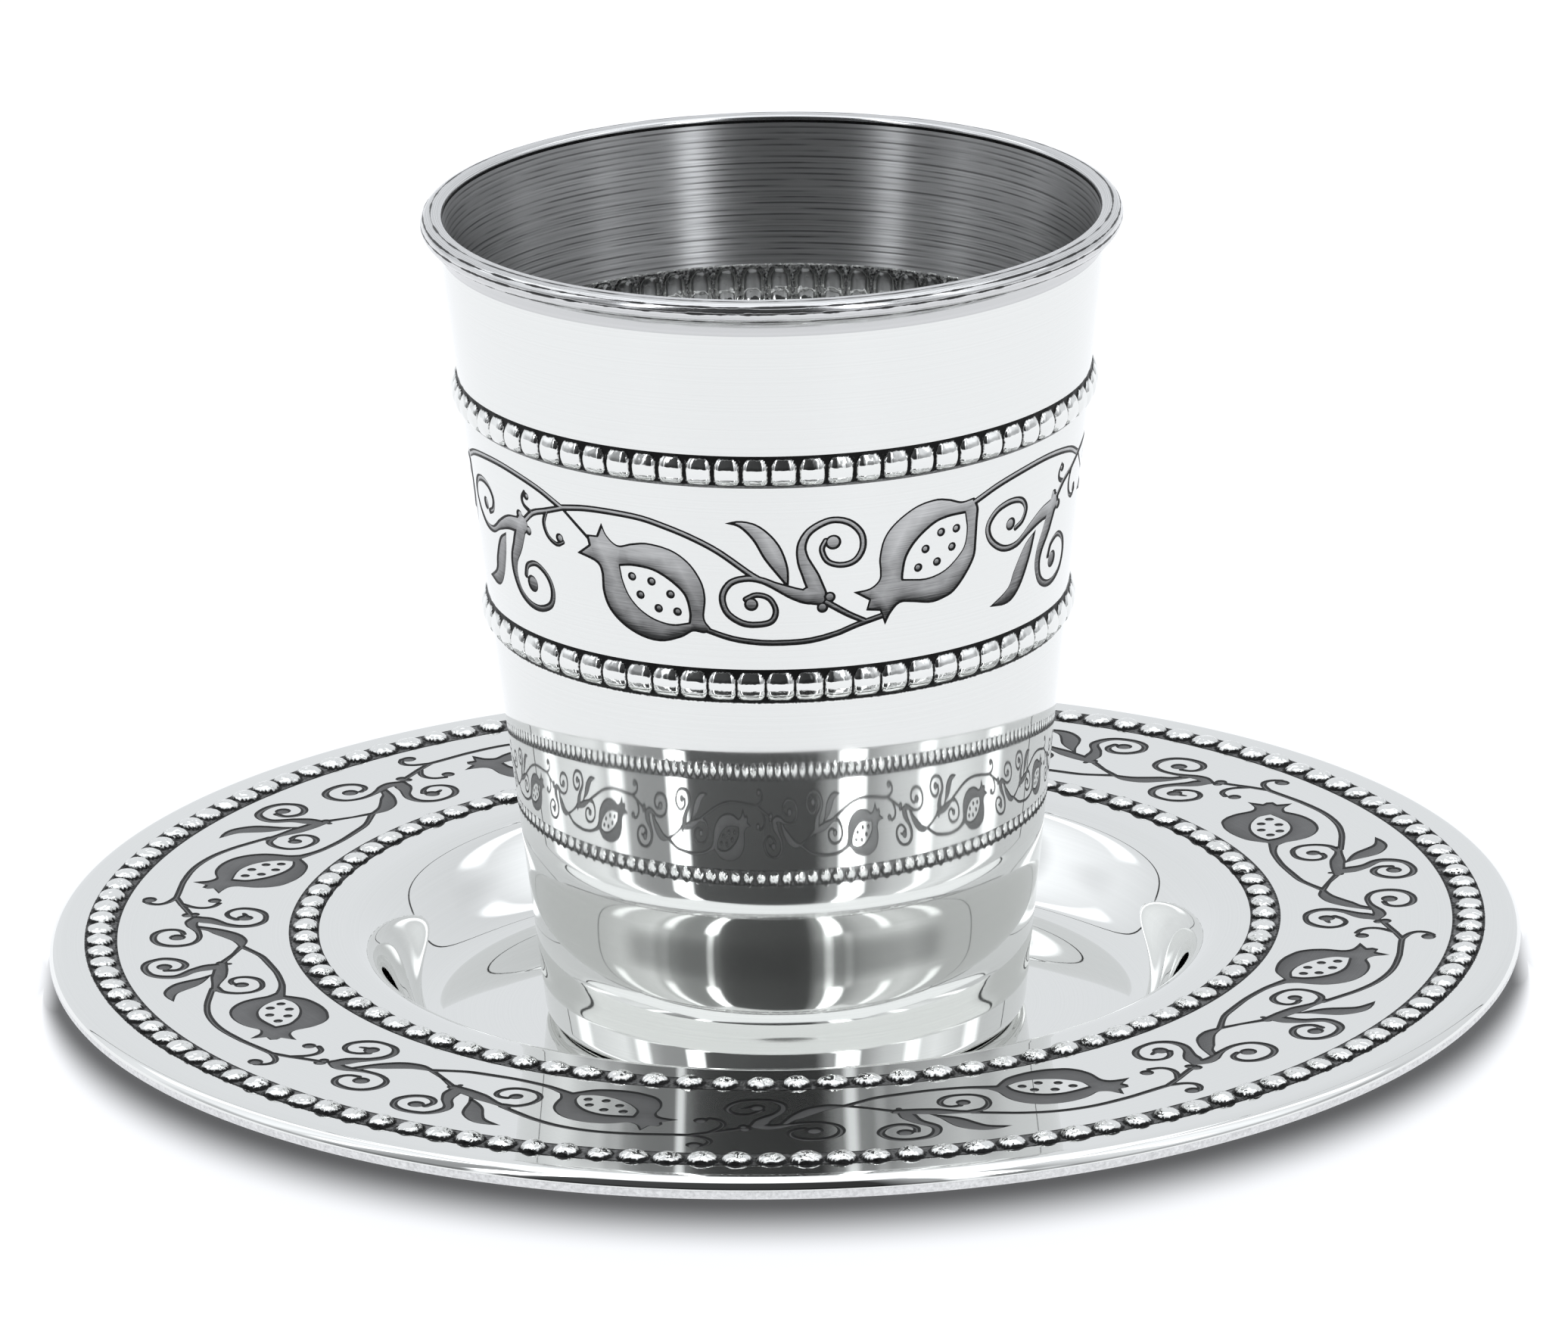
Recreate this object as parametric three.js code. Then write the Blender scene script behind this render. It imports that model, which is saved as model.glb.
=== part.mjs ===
// A kiddush cup of polished stainless steel that stands in the well of its matching saucer.
// Millimetres, +Z up. The origin is on the table, under the middle of the saucer.
import * as THREE from "three";

// Both pieces are pressed from the same sheet.
const SHEET = 0.8;

// Saucer
const SAUCER_RADIUS = 70.5;
const RIM_TOP = 9.6; // the flat rim's upper face above the table
const EDGE_ROLL = 1.06; // radius of the hem rolled under the saucer's edge
const EDGE_ROLL_START = 165; // where the hem leaves the rim's underside, degrees about the hem's middle
const EDGE_ROLL_END = 450; // the top of the hem, after passing under it and around its outer side
const WELL_LIP_RADIUS = 42.5; // where the rim starts to turn down into the well
const WELL_FLOOR_RADIUS = 33;
const WELL_WALL_EASE = 0.55; // how softly the wall bends at its foot and at its lip, as a share of its width
const WALL_OUTSIDE_SHIFT = 0.45; // keeps the sheet's thickness where the wall is steep

// Cup
const CUP_HEIGHT = 80;
const FOOT_RADIUS = 22.94; // where the straight side would meet the table
const SIDE_TAPER = 0.1094; // radius gained for each millimetre of height
const FOOT_ROUND = 1.4;
const INSIDE_ROUND = 3;
const LIP_RADIUS = 33.07;
const LIP_ROLL = 1.05; // radius of the bead rolled around the mouth
const LIP_INNER_RADIUS = 31; // the lip's top is flat from the roll's crown to this edge
const LIP_ROLL_START = -97; // where the roll leaves the neck, degrees about the roll's middle
const NECK_FOOT = 76.4; // the side starts to flare here
const NECK_BEND = [0.15, 1.1]; // the flare's control point, outward and upward from its foot
const INSIDE_NECK_FOOT = 75.2;

// Bead bands, as embossed: the middle of each band is a radius on the saucer and a height on the cup.
const OUTER_BEADS = { count: 130, middle: 65.5, width: 3.1, height: 0.7 };
const INNER_BEADS = { count: 87, middle: 46.1, width: 2.9, height: 0.7 };
const UPPER_BEADS = { count: 71, middle: 62.9, width: 3.2, height: 0.75 };
const LOWER_BEADS = { count: 64, middle: 41.4, width: 3.3, height: 0.75 };
const BEAD_SHOULDERS = [0.3, 0.7]; // a bead's crown lies between these shares of the band's width
const FLUTE_MIDDLE = [0.5]; // inside the cup the beads show as one row of hollows
const GAP_SHARE = 0.1; // height left between two beads, as a share of the bead's height

// Fineness of the round forms
const CUP_COLUMNS = 48;
const SAUCER_COLUMNS = 60;
const ROLL_STEPS = 7;
const LIP_STEPS = 6;
const WALL_STEPS = 6;
const ROUND_STEPS = 3;

const FULL_TURN = 2 * Math.PI;
const UP = [0, 1];
const OUTWARD = [1, 0];

// Profile points are [radius, height] pairs.
function arc([radius, height], size, fromDegrees, toDegrees, steps) {
  return Array.from({ length: steps + 1 }, (_, i) => {
    const angle = THREE.MathUtils.degToRad(fromDegrees + ((toDegrees - fromDegrees) * i) / steps);
    return [radius + size * Math.cos(angle), height + size * Math.sin(angle)];
  });
}

function bend(curve, steps) {
  return curve.getPoints(steps).map((p) => [p.x, p.y]);
}

function ringAt(columns, place) {
  return Array.from({ length: columns }, (_, i) => {
    const [radius, height] = place(i);
    const angle = (FULL_TURN * i) / columns;
    return [radius * Math.cos(angle), radius * Math.sin(angle), height];
  });
}

function plainRings(points, columns) {
  return points.map((point) => ringAt(columns, () => point));
}

// A bead band from one edge of the band to the other. Each shoulder ring has two columns for each bead,
// one on its crown and one in the gap beside it.
function beadRings(from, to, beads, shoulders, [outward, upward]) {
  const along = (share) => [0, 1].map((k) => from[k] + (to[k] - from[k]) * share);
  const raised = (share) => {
    const [radius, height] = along(share);
    return ringAt(2 * beads.count, (i) => {
      const lift = beads.height * (i % 2 ? GAP_SHARE : 1);
      return [radius + lift * outward, height + lift * upward];
    });
  };
  const edge = (point) => ringAt(beads.count, () => point);
  return [edge(from), ...shoulders.map(raised), edge(to)];
}

// Fills the strip between two rings, which may have different numbers of columns.
function stitch(lower, upper, faces) {
  let i = 0;
  let j = 0;
  while (i < lower.count || j < upper.count) {
    const lowerIsNext = (i + 1) * upper.count <= (j + 1) * lower.count;
    const a = lower.first + (i % lower.count);
    const b = upper.first + (j % upper.count);
    if (j === upper.count || (i < lower.count && lowerIsNext)) {
      i += 1;
      if (lower.count > 1) faces.push(a, lower.first + (i % lower.count), b);
    } else {
      j += 1;
      if (upper.count > 1) faces.push(a, upper.first + (j % upper.count), b);
    }
  }
}

// One closed skin through rings that run from the axis underneath, around the rim, to the axis inside.
function closedSkin(rings) {
  const points = [];
  const spans = rings.map((ring) => {
    const first = points.length;
    points.push(...ring);
    return { first, count: ring.length };
  });
  const faces = [];
  spans.slice(1).forEach((span, k) => stitch(spans[k], span, faces));
  const geometry = new THREE.BufferGeometry();
  geometry.setAttribute("position", new THREE.Float32BufferAttribute(points.flat(), 3));
  geometry.setIndex(faces);
  geometry.computeVertexNormals();
  return geometry;
}

function polishedSteel() {
  return new THREE.MeshStandardMaterial({ color: 0xc9cbce, roughness: 0.12, metalness: 1 });
}

function namedMesh(name, geometry) {
  const mesh = new THREE.Mesh(geometry, polishedSteel());
  mesh.name = name;
  return mesh;
}

// The soft double bend from the well's floor to the flat rim, on the side that starts at the given foot.
function wellWall(footRadius, footHeight) {
  const width = WELL_LIP_RADIUS - WELL_FLOOR_RADIUS;
  const rise = RIM_TOP - SHEET;
  const lipRadius = footRadius + width;
  const curve = new THREE.CubicBezierCurve(
    new THREE.Vector2(footRadius, footHeight),
    new THREE.Vector2(footRadius + WELL_WALL_EASE * width, footHeight),
    new THREE.Vector2(lipRadius - WELL_WALL_EASE * width, footHeight + rise),
    new THREE.Vector2(lipRadius, footHeight + rise),
  );
  return bend(curve, WALL_STEPS);
}

function saucer() {
  const hemMiddle = [SAUCER_RADIUS - EDGE_ROLL, RIM_TOP - EDGE_ROLL];
  const hem = arc(hemMiddle, EDGE_ROLL, EDGE_ROLL_START, EDGE_ROLL_END, ROLL_STEPS);
  const underside = wellWall(WELL_FLOOR_RADIUS + WALL_OUTSIDE_SHIFT, 0);
  const upperWall = wellWall(WELL_FLOOR_RADIUS, SHEET).reverse();
  const rimBeads = (beads) => {
    const outerEdge = [beads.middle + beads.width / 2, RIM_TOP];
    const innerEdge = [beads.middle - beads.width / 2, RIM_TOP];
    return beadRings(outerEdge, innerEdge, beads, BEAD_SHOULDERS, UP);
  };
  const geometry = closedSkin([
    [[0, 0, 0]],
    ...plainRings([...underside, ...hem], SAUCER_COLUMNS),
    ...rimBeads(OUTER_BEADS),
    ...rimBeads(INNER_BEADS),
    ...plainRings(upperWall, SAUCER_COLUMNS),
    [[0, 0, SHEET]],
  ]);
  return namedMesh("saucer", geometry);
}

function cup() {
  const lean = Math.atan(SIDE_TAPER);
  const leanDegrees = THREE.MathUtils.radToDeg(lean);
  const outside = (height) => FOOT_RADIUS + SIDE_TAPER * height;
  const inside = (height) => outside(height) - SHEET / Math.cos(lean);
  const footMiddle = [outside(FOOT_ROUND) - FOOT_ROUND / Math.cos(lean), FOOT_ROUND];
  const insideHeight = SHEET + INSIDE_ROUND;
  const insideMiddle = [inside(insideHeight) - INSIDE_ROUND / Math.cos(lean), insideHeight];
  const lipMiddle = [LIP_RADIUS - LIP_ROLL, CUP_HEIGHT - LIP_ROLL];

  const foot = arc(footMiddle, FOOT_ROUND, -90, -leanDegrees, ROUND_STEPS);
  const roll = arc(lipMiddle, LIP_ROLL, LIP_ROLL_START, 90, LIP_STEPS);
  const innerEdge = [LIP_INNER_RADIUS, CUP_HEIGHT];
  const neckFoot = new THREE.Vector2(outside(NECK_FOOT), NECK_FOOT);
  const neckBend = neckFoot.clone().add(new THREE.Vector2(...NECK_BEND));
  const neckTop = new THREE.Vector2(...roll[0]);
  const neck = bend(new THREE.QuadraticBezierCurve(neckFoot, neckBend, neckTop), ROUND_STEPS).slice(0, -1);
  const insideNeck = [inside(INSIDE_NECK_FOOT), INSIDE_NECK_FOOT];
  const insideFoot = arc(insideMiddle, INSIDE_ROUND, -leanDegrees, -90, ROUND_STEPS);

  const sideBeads = (beads, side, shoulders, up) => {
    const edges = [-1, 1].map((end) => beads.middle + (end * up * beads.width) / 2);
    const [from, to] = edges.map((height) => [side(height), height]);
    return beadRings(from, to, beads, shoulders, OUTWARD);
  };
  const geometry = closedSkin([
    [[0, 0, 0]],
    ...plainRings(foot, CUP_COLUMNS),
    ...sideBeads(LOWER_BEADS, outside, BEAD_SHOULDERS, 1),
    ...sideBeads(UPPER_BEADS, outside, BEAD_SHOULDERS, 1),
    ...plainRings([...neck, ...roll, innerEdge, insideNeck], CUP_COLUMNS),
    ...sideBeads(UPPER_BEADS, inside, FLUTE_MIDDLE, -1),
    ...sideBeads(LOWER_BEADS, inside, FLUTE_MIDDLE, -1),
    ...plainRings(insideFoot, CUP_COLUMNS),
    [[0, 0, SHEET]],
  ]);
  const mesh = namedMesh("cup", geometry);
  mesh.position.z = SHEET;
  return mesh;
}

const cupOnSaucer = new THREE.Group();
cupOnSaucer.add(saucer(), cup());

export default cupOnSaucer;
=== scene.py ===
"""Looks of the kiddush cup and its saucer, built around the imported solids.

Shapes are worked out in millimetres, with +Z up and the photograph's side towards -Y, and are turned into
metres when a mesh is made. Angles around the axis are measured from the front towards +X.
"""
import math

import bpy
import numpy as np
from mathutils import Matrix, Vector
from mathutils.geometry import delaunay_2d_cdt


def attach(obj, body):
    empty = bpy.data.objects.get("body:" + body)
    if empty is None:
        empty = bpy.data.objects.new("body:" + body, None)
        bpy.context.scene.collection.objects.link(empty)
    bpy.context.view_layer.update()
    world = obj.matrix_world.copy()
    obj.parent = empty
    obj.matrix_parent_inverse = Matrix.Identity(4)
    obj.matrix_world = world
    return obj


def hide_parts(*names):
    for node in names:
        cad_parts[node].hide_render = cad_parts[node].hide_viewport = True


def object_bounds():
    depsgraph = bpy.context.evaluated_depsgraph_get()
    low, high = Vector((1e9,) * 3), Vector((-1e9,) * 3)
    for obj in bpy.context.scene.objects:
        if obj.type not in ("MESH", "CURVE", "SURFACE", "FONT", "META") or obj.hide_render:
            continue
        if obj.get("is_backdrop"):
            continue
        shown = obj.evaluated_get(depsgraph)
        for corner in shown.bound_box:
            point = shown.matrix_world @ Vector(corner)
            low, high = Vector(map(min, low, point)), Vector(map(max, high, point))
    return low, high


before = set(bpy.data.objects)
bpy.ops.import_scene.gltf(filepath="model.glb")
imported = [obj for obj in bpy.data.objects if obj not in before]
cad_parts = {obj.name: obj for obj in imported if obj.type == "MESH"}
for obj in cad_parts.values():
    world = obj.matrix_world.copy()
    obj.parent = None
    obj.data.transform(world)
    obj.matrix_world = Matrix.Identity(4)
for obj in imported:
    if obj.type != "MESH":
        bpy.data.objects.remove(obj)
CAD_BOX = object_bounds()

MM = 0.001
FULL_TURN = 2 * math.pi

# The solids' own measures
SHEET = 0.8
SAUCER_RADIUS = 70.5
RIM_TOP = 9.6
WELL_LIP_RADIUS = 42.5
WELL_FLOOR_RADIUS = 33.0
WELL_WALL_EASE = 0.55
WALL_OUTSIDE_SHIFT = 0.45
CUP_HEIGHT = 80.0
FOOT_RADIUS = 22.94
SIDE_TAPER = 0.1094
FOOT_ROUND = 1.4
INSIDE_ROUND = 3.0
LIP_RADIUS = 33.07
LIP_ROLL = 1.05
LIP_ROLL_START = -97
LIP_INNER_RADIUS = 31.0
NECK_FOOT = 76.4
NECK_BEND = (0.15, 1.1)
INSIDE_NECK_FOOT = 75.2
OUTER_BEADS = {"count": 130, "middle": 65.5, "width": 3.1, "height": 0.7}
INNER_BEADS = {"count": 87, "middle": 46.1, "width": 2.9, "height": 0.7}
UPPER_BEADS = {"count": 71, "middle": 62.9, "width": 3.2, "height": 0.75}
LOWER_BEADS = {"count": 64, "middle": 41.4, "width": 3.3, "height": 0.75}
UPPER_FLUTES = {"count": 71, "middle": 63.2, "width": 4.4, "height": 0.75}

# A saucer bead is a dome that takes these shares of its pitch and of its band. It is moved away from the
# frieze by a share of the band's half width
DOME_SHARE = (0.86, 0.88)
DOME_SHIFT = 0.12
DOME_CROWN = 0.62
DOME_SPREAD = 0.16  # how much the domes differ in height and width
# A cup bead is a rounded block on a barrel-shaped ridge: the share of the pitch that a bead takes, and the
# block's share of its height
BARREL_POWERS = (1.6, 3.0)  # above and below the ridge's crown
BLOCK_SHARE = 0.9  # of the ridge's width
BLOCK_ROUND = 0.7
SHOULDER_POWER = 4.0
UPPER_SHOULDER = (0.92, 0.65)
LOWER_SHOULDER = (0.97, 0.5)
# Inside the cup the beads show as rounded hollows with soft gaps between them
FLUTE_SHARE = (0.9, 0.92)
FLUTE_POWER = 3.0
FLUTE_ROUND = 0.6
# Where the soil and painted shade on and between the beads start and where they are full: as shares of the
# way to a dome's foot, to a band's edge, to a block's foot, before the end of a bead's share of the pitch,
# and to a flute's foot
DOME_LINE, DOME_GROUND = (0.8, 0.96), (1.06, 1.22)
RIM_BAND_EDGE = (0.84, 0.92)
SIDE_BAND_SHADE, SIDE_BAND_END = (0.72, 0.84), (0.8, 0.9)
BLOCK_LINE = (0.86, 0.98)
GAP_LINE = (0.12, 0.02)
FLUTE_LINE = (0.7, 1.0)
BLOCK_SOIL, FLUTE_SOIL = 0.45, 0.28

# The saucer's edge turns down from the rim in an oval bend, which is polished, and is folded under
EDGE_BEND = (1.5, 1.3)
EDGE_FOLD = 0.95
EDGE_FOLD_START = -190  # degrees about the fold's middle
EDGE_POLISH_START = 8
LIP_CORNER = 0.45
LIP_CREASE = 0.3  # a crease with painted shade parts the lip from the inside
LIP_LINES = (85, 40, 5, -45, -80)  # dark lines around the lip, in degrees about the roll's middle: turned lines, and at -80, under the roll, a painted shade line
LIP_LINE_WIDTHS = (1.5, 9.0)

# Fineness of the meshes
CUP_COLUMNS = 192
SAUCER_COLUMNS = 240
CUP_BEAD_ROWS = 18
FLUTE_CELLS, LOWER_FLUTE_CELLS = (8, 12), (5, 8)
SAUCER_BEAD_CELLS = (8, 14)
CUP_TILE_COLUMNS, SAUCER_TILE_COLUMNS = 60, 30
FOOT_STEPS, INSIDE_FOOT_STEPS = 10, 12
NECK_STEPS, LIP_STEPS, CORNER_STEPS = 10, 20, 4
WALL_STEPS, INNER_WALL_STEPS = 18, 40
FOLD_STEPS, BEND_STEPS = 24, 20
# Plain rows of the cup's side, between its bands: heights from and to, and steps
OUTSIDE_BELOW, OUTSIDE_ABOVE = (4, 39.5, 12), (64.8, 75.8, 4)
INSIDE_ABOVE, INSIDE_BETWEEN, INSIDE_BELOW = (74.5, 65.6, 4), (61, 43.4, 5), (39.4, 5, 8)
HUB = 8  # radius of the innermost ring in most of the flat middles
TRACE_CELL = 0.06  # grid on which the etched outlines are traced
TRACE_SLACK = 0.012
FILL_SPACING = 1.1
FAR = 1.0  # distances to the etched drawing are worked out up to here

# Etched drawing
ETCH_DEPTH = 0.09
CUP_TILES = 3
SAUCER_TILES = 8
CUP_FRIEZE_MIDDLE = 52.57
SAUCER_FRIEZE_MIDDLE = 56.0
CUP_TILE_START, SAUCER_TILE_START = -39.6, -21.7
SAUCER_FRIEZE_TURN = 117.0  # degrees from the front to the middle of a fruit
CUP_LINE = 0.22  # width of the dark line around the etched areas
SAUCER_LINE = 0.26
FILL_FADE = 1.3  # the etched areas' painted shade fades over this distance from their dark line
FILL_SLOPE_STEP = 0.1
FILL_SHADE = (0.6, -0.4)  # painted shade along their edges, and what the edge's slope adds: more on their lower edges
ON_LINE = 1e-4  # points this close to a tile's border lie on it

# Camera, from the photograph's perspective
CAMERA_PLACE = (-0.25, -1079.0, 392.4)
CAMERA_PITCH = 18.341
CAMERA_YAW = 0.0335
CAMERA_ROLL = -1.05
SENSOR_WIDTH = 36.0
FOCAL_PIXELS, PHOTO_PIXELS = 15768, 2072  # the focal length and the photograph's width
FOCAL_LENGTH = SENSOR_WIDTH * FOCAL_PIXELS / PHOTO_PIXELS


def unit(v):
    return v / np.maximum(np.linalg.norm(v, axis=-1, keepdims=True), 1e-12)


# Profiles: arrays of (radius, height)

LEAN = math.atan(SIDE_TAPER)
SIDE_NORMAL = np.array([math.cos(LEAN), -math.sin(LEAN)])


def outside(height):
    """Radius of the cup's side."""
    return FOOT_RADIUS + SIDE_TAPER * height


def inside(height):
    return outside(height) - SHEET / math.cos(LEAN)


def arc(middle, size, start, stop, steps):
    a = np.radians(np.linspace(start, stop, steps + 1))
    return np.stack([middle[0] + size * np.cos(a), middle[1] + size * np.sin(a)], 1)


def line(a, b, steps):
    t = np.linspace(0, 1, steps + 1)[:, None]
    return (1 - t) * np.array(a, float) + t * np.array(b, float)


def bezier(points, steps):
    p = np.array(points, float)[:, None, :]
    t = np.linspace(0, 1, steps + 1)[:, None]
    while len(p) > 1:
        p = p[:-1] * (1 - t) + p[1:] * t
    return p[0]


def profile_normals(points):
    """Outward normals of a profile that runs from the axis underneath to the axis inside."""
    d = unit(np.diff(points, axis=0))
    t = unit(np.vstack([d[:1], d[:-1] + d[1:], d[-1:]]))
    return np.stack([t[:, 1], -t[:, 0]], 1)


def turn(radius, height, theta):
    """Points at angles measured from the front towards +X."""
    return np.stack([radius * np.sin(theta), -radius * np.cos(theta), height + 0 * theta], -1)


def in_order(index, theta):
    """A ring's points and angles, sorted from the front onwards."""
    theta = np.mod(theta, FULL_TURN)
    order = np.argsort(theta, kind="stable")
    return index[order], theta[order]


class Skin:
    """One closed surface made of rings and patches, from the axis underneath to the axis inside."""

    def __init__(self):
        self.points, self.normals, self.soil_and_shade = [], [], []
        self.faces, self.paint = [], []
        self.size = 0
        self.last = None

    def add_points(self, points, normals, soil_and_shade=0.0):
        first = self.size
        self.points.append(points)
        self.normals.append(normals)
        self.soil_and_shade.append(np.broadcast_to(soil_and_shade, len(points)))
        self.size += len(points)
        return first + np.arange(len(points))

    def join(self, index, theta, paint):
        """Stitches a ring, given by its points' indices and angles, to the ring before it."""
        ring = in_order(index, theta)
        if self.last is not None:
            self.stitch(self.last, ring, paint)
        self.last = ring

    def stitch(self, lower, upper, paint):
        (la, lt), (ua, ut) = lower, upper
        n, m, i, j = len(la), len(ua), 0, 0
        if n == 1:
            i = n
        while i < n or j < m:
            next_l = lt[(i + 1) % n] + FULL_TURN * ((i + 1) // n) if i < n else math.inf
            next_u = ut[(j + 1) % m] + FULL_TURN * ((j + 1) // m) if j < m else math.inf
            a, b = int(la[i % n]), int(ua[j % m])
            if n == m and i < n and j < m and abs(next_l - next_u) < 1e-9:
                face = (a, int(la[(i + 1) % n]), int(ua[(j + 1) % m]), b)
                i, j = i + 1, j + 1
            elif next_l <= next_u:
                face = (a, int(la[(i + 1) % n]), b)
                i += 1
            else:
                face = (a, int(ua[(j + 1) % m]), b)
                j += 1
            self.faces.append(face)
            self.paint.append(paint)

    def ring(self, point, normal, columns, paint):
        theta = FULL_TURN * np.arange(columns) / columns
        normals = turn(normal[0], normal[1], theta)
        self.join(self.add_points(turn(point[0], point[1], theta), normals), theta, paint)

    def pole(self, height, up, paint):
        index = self.add_points(np.array([[0.0, 0, height]]), np.array([[0.0, 0, up]]))
        if self.last is not None:
            ring = self.last[0]
            for a, b in zip(ring, np.roll(ring, -1)):
                self.faces.append((int(a), int(b), int(index[0])))
                self.paint.append(paint)
        else:
            self.last = (index, np.zeros(1))

    def lathe(self, profile, normals, columns, paint):
        for point, normal in zip(profile, normals):
            self.ring(point, normal, columns, paint)

    def piece(self, name, materials, lift):
        mesh = bpy.data.meshes.new(name)
        points = np.concatenate(self.points)
        points[:, 2] += lift
        mesh.from_pydata(points * MM, [], self.faces)
        for material in materials:
            mesh.materials.append(material)
        mesh.polygons.foreach_set("material_index", self.paint)
        mesh.polygons.foreach_set("use_smooth", [True] * len(self.faces))
        attribute = mesh.attributes.new("soil_and_shade", "FLOAT", "POINT")
        attribute.data.foreach_set("value", np.concatenate(self.soil_and_shade).astype(np.float32))
        mesh.update()
        mesh.normals_split_custom_set_from_vertices(unit(np.concatenate(self.normals)))
        obj = bpy.data.objects.new(name, mesh)
        bpy.context.scene.collection.objects.link(obj)
        return obj


# Bead bands

# A form gives the height of a bead and its soil and painted shade: 0 is polished, 0.5 an oxide line on the
# saucer and a painted shade line along the cup's band edges, 1 the stamped ground.

def smoothstep(value, low, high):
    t = np.clip((value - low) / (high - low), 0, 1)
    return t * t * (3 - 2 * t)


def dome(shift):
    def form(across, along):
        reach = np.hypot(across / DOME_SHARE[0], (along - shift) / DOME_SHARE[1])
        lift = (1 - np.minimum(reach, 1) ** 2) ** DOME_CROWN
        soil_and_shade = 0.5 * smoothstep(reach, *DOME_LINE) + 0.5 * smoothstep(reach, *DOME_GROUND)
        edge = smoothstep(np.abs(along), *RIM_BAND_EDGE)
        return lift, soil_and_shade * (1 - edge) + 0.5 * edge
    return form


def barrel(shoulder, lower_edge_shade):
    """A block on a ridge, with a painted shade line in the crease along its upper edge and painted shade
    along the lower one.
    """
    share, block = shoulder

    def form(across, along):
        power = np.where(along > 0, *BARREL_POWERS)
        reach = np.minimum((across / share) ** SHOULDER_POWER + (np.abs(along) / BLOCK_SHARE) ** power, 1)
        lift = (1 - block) * (1 - np.abs(along) ** power) + block * (1 - reach) ** BLOCK_ROUND
        # painted shade in the creases along the band's upper and lower edges
        upper_shade_line = 0.5 * smoothstep(along, *SIDE_BAND_SHADE)
        edges = np.maximum(upper_shade_line, lower_edge_shade * smoothstep(-along, *SIDE_BAND_SHADE))
        gap = smoothstep(across, share - GAP_LINE[0], share - GAP_LINE[1])
        foot = BLOCK_SOIL * np.maximum(gap, smoothstep(reach, *BLOCK_LINE))
        return lift, np.maximum(edges, foot * (1 - smoothstep(np.abs(along), *SIDE_BAND_END)))
    return form


def flute(across, along):
    reach = (across / FLUTE_SHARE[0]) ** FLUTE_POWER + (np.abs(along) / FLUTE_SHARE[1]) ** FLUTE_POWER
    return (1 - np.minimum(reach, 1)) ** FLUTE_ROUND, FLUTE_SOIL * smoothstep(reach, *FLUTE_LINE)


def shoulder_stations(share):
    """Places on half a bead, closer together where its shoulder falls."""
    return np.concatenate([share * np.linspace(0, 1, 8) ** 0.7, np.linspace(share, 1, 3)[1:]])


def band_stations(rows):
    """Places across a band, close together along its edges."""
    return np.sin(np.linspace(-math.pi / 2, math.pi / 2, rows + 1))


def bead_band(skin, beads, form, across, along, base, direction, base_normal, paint, spread=0.0):
    """A ring of beads. across and along are the places of its points on half a bead and across the band.

    base(t) is the band's profile, t from -1 to 1 in the order of the skin's rings."""
    bead = np.concatenate([-across[:0:-1], across[:-1]])
    number = np.repeat(np.arange(beads["count"]), len(bead))
    first = (beads["count"] / 4) % 1
    theta = (number + np.tile(bead, beads["count"]) / 2 - first) * FULL_TURN / beads["count"]
    along = along[:, None]
    uneven = 1 + np.random.default_rng(beads["count"]).uniform(-spread, spread, (2, beads["count"]))
    lift, soil_and_shade = form(np.tile(np.abs(bead), beads["count"]) * uneven[0, number], along)
    lift = beads["height"] * lift * uneven[1, number]
    flat = np.array([base(t) for t in along[:, 0]])
    place = turn(flat[:, :1] + lift * direction[0], flat[:, 1:] + lift * direction[1], theta[None, :])
    around = np.roll(place, -1, 1) - np.roll(place, 1, 1)
    normals = unit(np.cross(around, np.gradient(place, axis=0)))
    for row in (0, -1):
        normals[row] = turn(base_normal[0], base_normal[1], theta)
    for row in range(len(along)):
        index = skin.add_points(place[row], normals[row], soil_and_shade[row])
        skin.join(index, theta, paint)


# Etched drawing: distances on a flat tile

def smooth_path(points, step=0.22):
    """A curve through the points."""
    p = np.array(points, float)
    if len(p) == 2:
        return line(p[0], p[1], max(1, int(np.linalg.norm(p[1] - p[0]) / step)))
    ends = np.vstack([2 * p[0] - p[1], p, 2 * p[-1] - p[-2]])
    pieces = []
    for a, b, c, d in zip(ends, ends[1:], ends[2:], ends[3:]):
        count = max(2, int(np.linalg.norm(c - b) / step))
        t = np.linspace(0, 1, count, endpoint=False)[:, None]
        pieces.append(0.5 * (2 * b + (c - a) * t + (2 * a - 5 * b + 4 * c - d) * t ** 2
                             + (3 * b - a - 3 * c + d) * t ** 3))
    return np.vstack(pieces + [p[-1:]])


def segment_distance(grid, path, widths):
    """Distance from the grid's points to a path with a half width at each of its points."""
    a, b = path[:-1], path[1:]
    d = b - a
    length = np.maximum((d ** 2).sum(1), 1e-9)
    best = np.full(grid.shape[:2], np.inf)
    for k in range(len(a)):
        rel = grid - a[k]
        t = np.clip((rel @ d[k]) / length[k], 0, 1)
        near = np.hypot(rel[..., 0] - t * d[k, 0], rel[..., 1] - t * d[k, 1])
        best = np.minimum(best, near - widths[k] * (1 - t) - widths[k + 1] * t)
    return best


def inside_of(grid, loop):
    x, y = grid[..., 0], grid[..., 1]
    result = np.zeros(x.shape, bool)
    for (x0, y0), (x1, y1) in zip(loop, np.roll(loop, -1, 0)):
        if y0 != y1:
            result ^= ((y0 > y) != (y1 > y)) & (x < (x1 - x0) * (y - y0) / (y1 - y0) + x0)
    return result


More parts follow.
